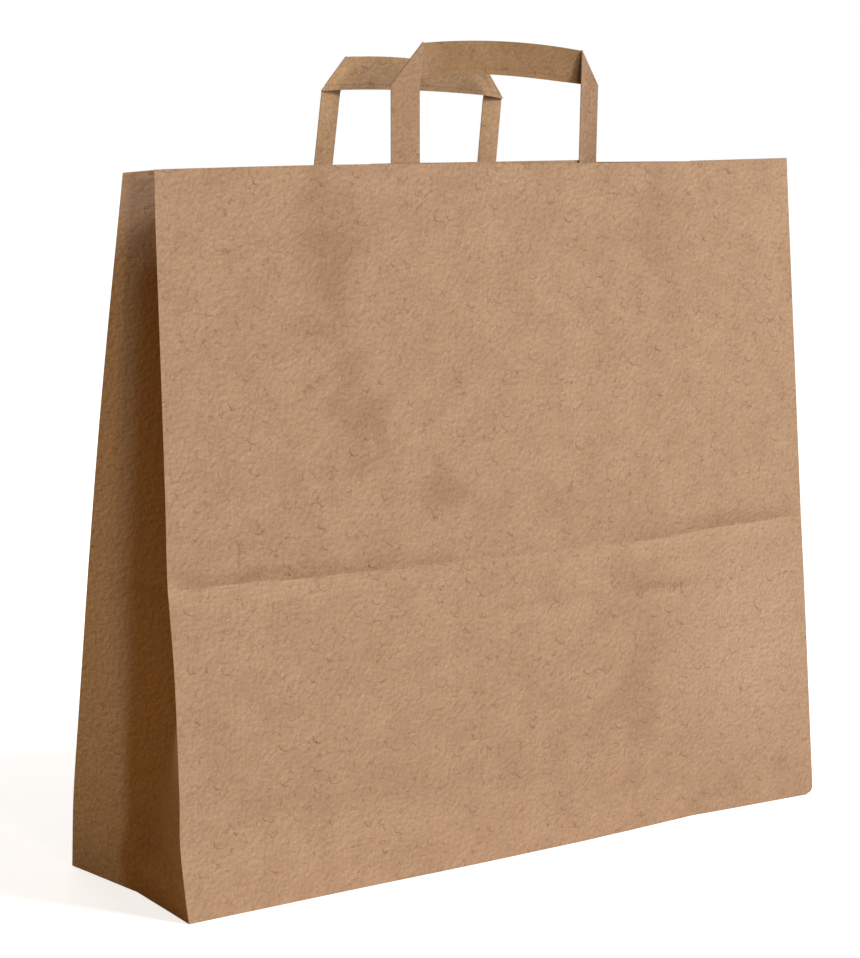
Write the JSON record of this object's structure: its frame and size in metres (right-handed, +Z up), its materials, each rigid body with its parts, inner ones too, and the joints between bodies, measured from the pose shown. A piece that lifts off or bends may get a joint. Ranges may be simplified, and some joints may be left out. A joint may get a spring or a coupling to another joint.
{
  "type": "paper carrier bag",
  "caption": "Wide kraft paper carrier bag standing open on its block bottom, with deep V gussets and flat folded paper handles glued inside the rim.",
  "frame": {"origin": "middle of the base, on the surface the bag stands on", "axes": "+Z up to the handles, +X along the bag's width, -Y towards the front panel"},
  "size_m": [0.5402, 0.1502, 0.5553],
  "materials": {
    "kraft_paper": "matt brown recycled kraft paper with fine fibre flecks",
    "kraft_tape": "matt brown kraft paper folded into a flat tape",
    "kraft_patch": "matt brown kraft paper, glued over the handle's ends"
  },
  "bodies": {
    "root": {"bag_body": "kraft_paper", "front_handle": "kraft_tape", "back_handle": "kraft_tape", "front_handle_patch": "kraft_patch", "back_handle_patch": "kraft_patch"}
  },
  "joints": []
}
